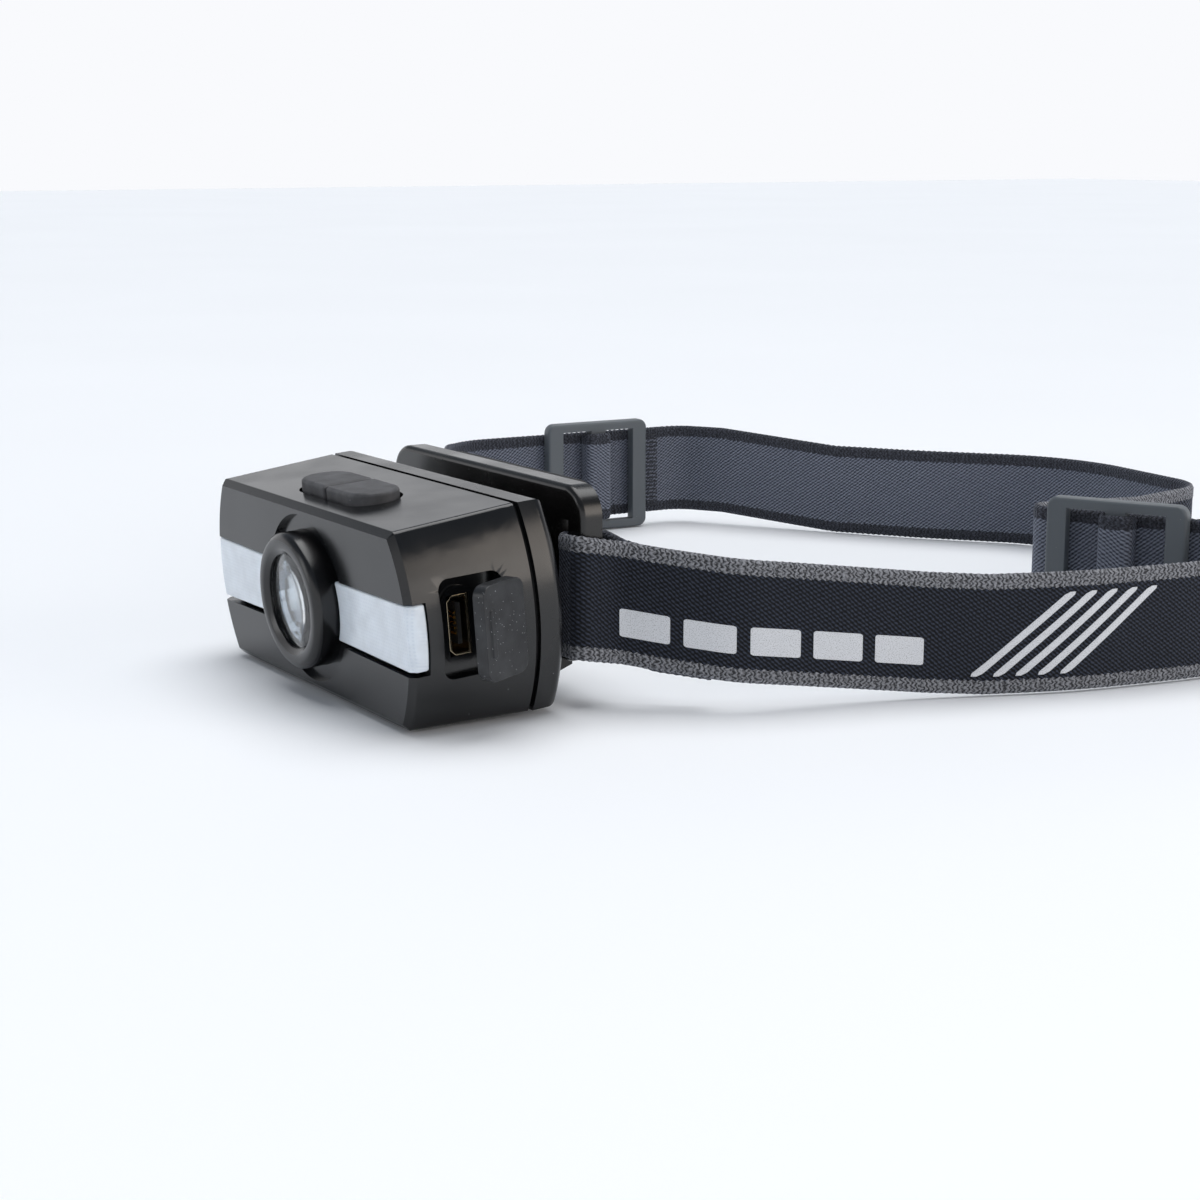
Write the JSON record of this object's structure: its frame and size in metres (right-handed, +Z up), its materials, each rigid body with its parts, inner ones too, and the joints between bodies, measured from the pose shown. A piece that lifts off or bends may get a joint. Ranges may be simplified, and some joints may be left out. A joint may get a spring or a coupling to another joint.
{
  "type": "headlamp",
  "caption": "Compact rechargeable headlamp with a tilting lamp body, side windows, top buttons, covered charging port and adjustable elastic headband.",
  "frame": {"origin": "centre of the whole headlamp's footprint, on the surface it stands on", "axes": "+Z up, +Y from the lamp's face to the rear of the headband, +X towards the charging port side"},
  "size_m": [0.1454, 0.1614, 0.028],
  "materials": {
    "shell_plastic": "satin moulded",
    "cover_plastic": "satin moulded",
    "seal_rubber": "matt",
    "screw_steel": "plated",
    "bezel_plastic": "satin turned",
    "clear_lens": "polished",
    "reflector_chrome": "metallised",
    "led_yellow": "clear over phosphor",
    "board_aluminium": "satin",
    "frosted_window": "frosted",
    "led_white": "gloss",
    "board_green": "lacquered",
    "switch_body": "moulded",
    "battery_pouch": "satin foil",
    "lead_copper": "insulated",
    "port_steel": "plated",
    "contact_brass": "gold flashed",
    "port_rubber": "satin translucent",
    "button_rubber": "matt",
    "bracket_plastic": "semi-gloss",
    "brow_foam": "matt foam",
    "band_fabric": "knitted elastic",
    "slider_plastic": "satin"
  },
  "bodies": {
    "headband": {"bracket": "bracket_plastic", "brow_pad": "brow_foam", "band_right": "band_fabric", "band_rear": "band_fabric", "band_left": "band_fabric"},
    "lamp": {"front_shell": "shell_plastic", "rear_cover": "cover_plastic", "seam_gasket": "seal_rubber", "cover_screws": "screw_steel", "bezel_ring": "bezel_plastic", "front_lens": "clear_lens", "lens_seal": "seal_rubber", "reflector": "reflector_chrome", "spot_led": "led_yellow", "led_board": "board_aluminium", "window_left": "frosted_window", "window_right": "frosted_window", "side_leds_left": "led_white", "side_leds_right": "led_white", "main_board": "board_green", "switch_board": "board_green", "switch_left": "switch_body", "switch_right": "switch_body", "battery_cell": "battery_pouch", "battery_leads": "lead_copper", "usb_shell": "port_steel", "usb_tongue": "switch_body", "usb_contacts": "contact_brass", "hinge_pin": "screw_steel", "usb_cover_tether": "port_rubber"},
    "button_left": {"button_left": "button_rubber", "switch_stem_left": "switch_body"},
    "button_right": {"button_right": "button_rubber", "switch_stem_right": "switch_body"},
    "port_cover": {"usb_cover": "port_rubber"},
    "slider_a": {"slider_a": "slider_plastic", "band_loop_a": "band_fabric"},
    "slider_b": {"slider_b": "slider_plastic", "band_loop_b": "band_fabric"}
  },
  "joints": [
    {"name": "lamp_tilt", "type": "hinge", "parent": "headband", "child": "lamp", "pos_m": [0.01579, -0.05204, 0.0052], "axis": [1, 0, 0], "range_deg": [-6, 50]},
    {"name": "left_button_press", "type": "slide", "parent": "lamp", "child": "button_left", "axis": [0, 0.0741, -0.9973], "range_m": [0, 0.0006], "stiffness_N_per_m": 800},
    {"name": "right_button_press", "type": "slide", "parent": "lamp", "child": "button_right", "axis": [0, 0.0741, -0.9973], "range_m": [0, 0.0006], "stiffness_N_per_m": 800},
    {"name": "port_cover_swing", "type": "hinge", "parent": "lamp", "child": "port_cover", "pos_m": [0.04179, -0.0554, 0.01416], "axis": [0, -0.0741, 0.9973], "range_deg": [-20, 30], "deforming": ["usb_cover_tether"]},
    {"name": "slider_a_slide", "type": "slide", "parent": "headband", "child": "slider_a", "axis": [0.0549, 0.9985, 0], "range_m": [-0.01, 0.001]},
    {"name": "slider_b_slide", "type": "slide", "parent": "headband", "child": "slider_b", "axis": [0.8896, 0.4568, 0], "range_m": [0, 0.009]}
  ]
}
